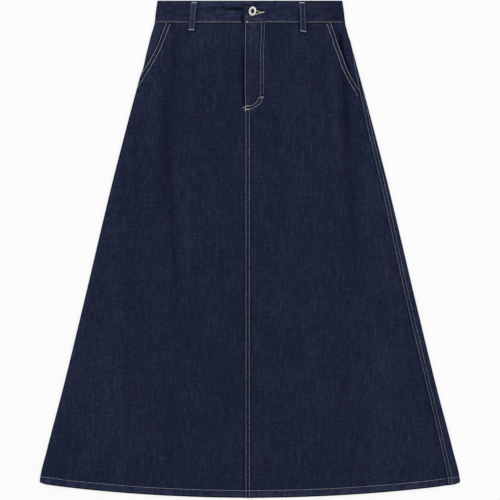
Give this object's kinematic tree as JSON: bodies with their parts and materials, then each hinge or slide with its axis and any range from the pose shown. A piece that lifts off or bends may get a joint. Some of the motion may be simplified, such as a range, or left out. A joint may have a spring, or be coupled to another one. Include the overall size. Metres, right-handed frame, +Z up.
{
  "type": "denim skirt",
  "caption": "Long A-line denim skirt laid flat, with waistband, belt loops, slanted hip pockets, a lapped centre front with a fly, and a pale metal ring button.",
  "frame": {"origin": "centre of the bounding box's bottom face, on the surface that the skirt lies on", "axes": "+Z up, away from that surface; +Y towards the waist; +X towards the wearer's left side, as the front faces up"},
  "size_m": [0.7996, 0.9437, 0.0215],
  "materials": {
    "denim": "dark indigo cotton twill, ecru topstitching",
    "waistband_denim": "dark indigo cotton twill, doubled",
    "pale_metal": "pale nickel, satin"
  },
  "bodies": {
    "root": {"waistband": "waistband_denim", "front_panel_left": "denim", "front_panel_right": "denim", "back_panel_left": "denim", "back_panel_right": "denim", "pocket_facing_left": "denim", "pocket_facing_right": "denim", "belt_loop_left": "waistband_denim", "belt_loop_right": "waistband_denim", "waist_button": "pale_metal"}
  },
  "joints": []
}
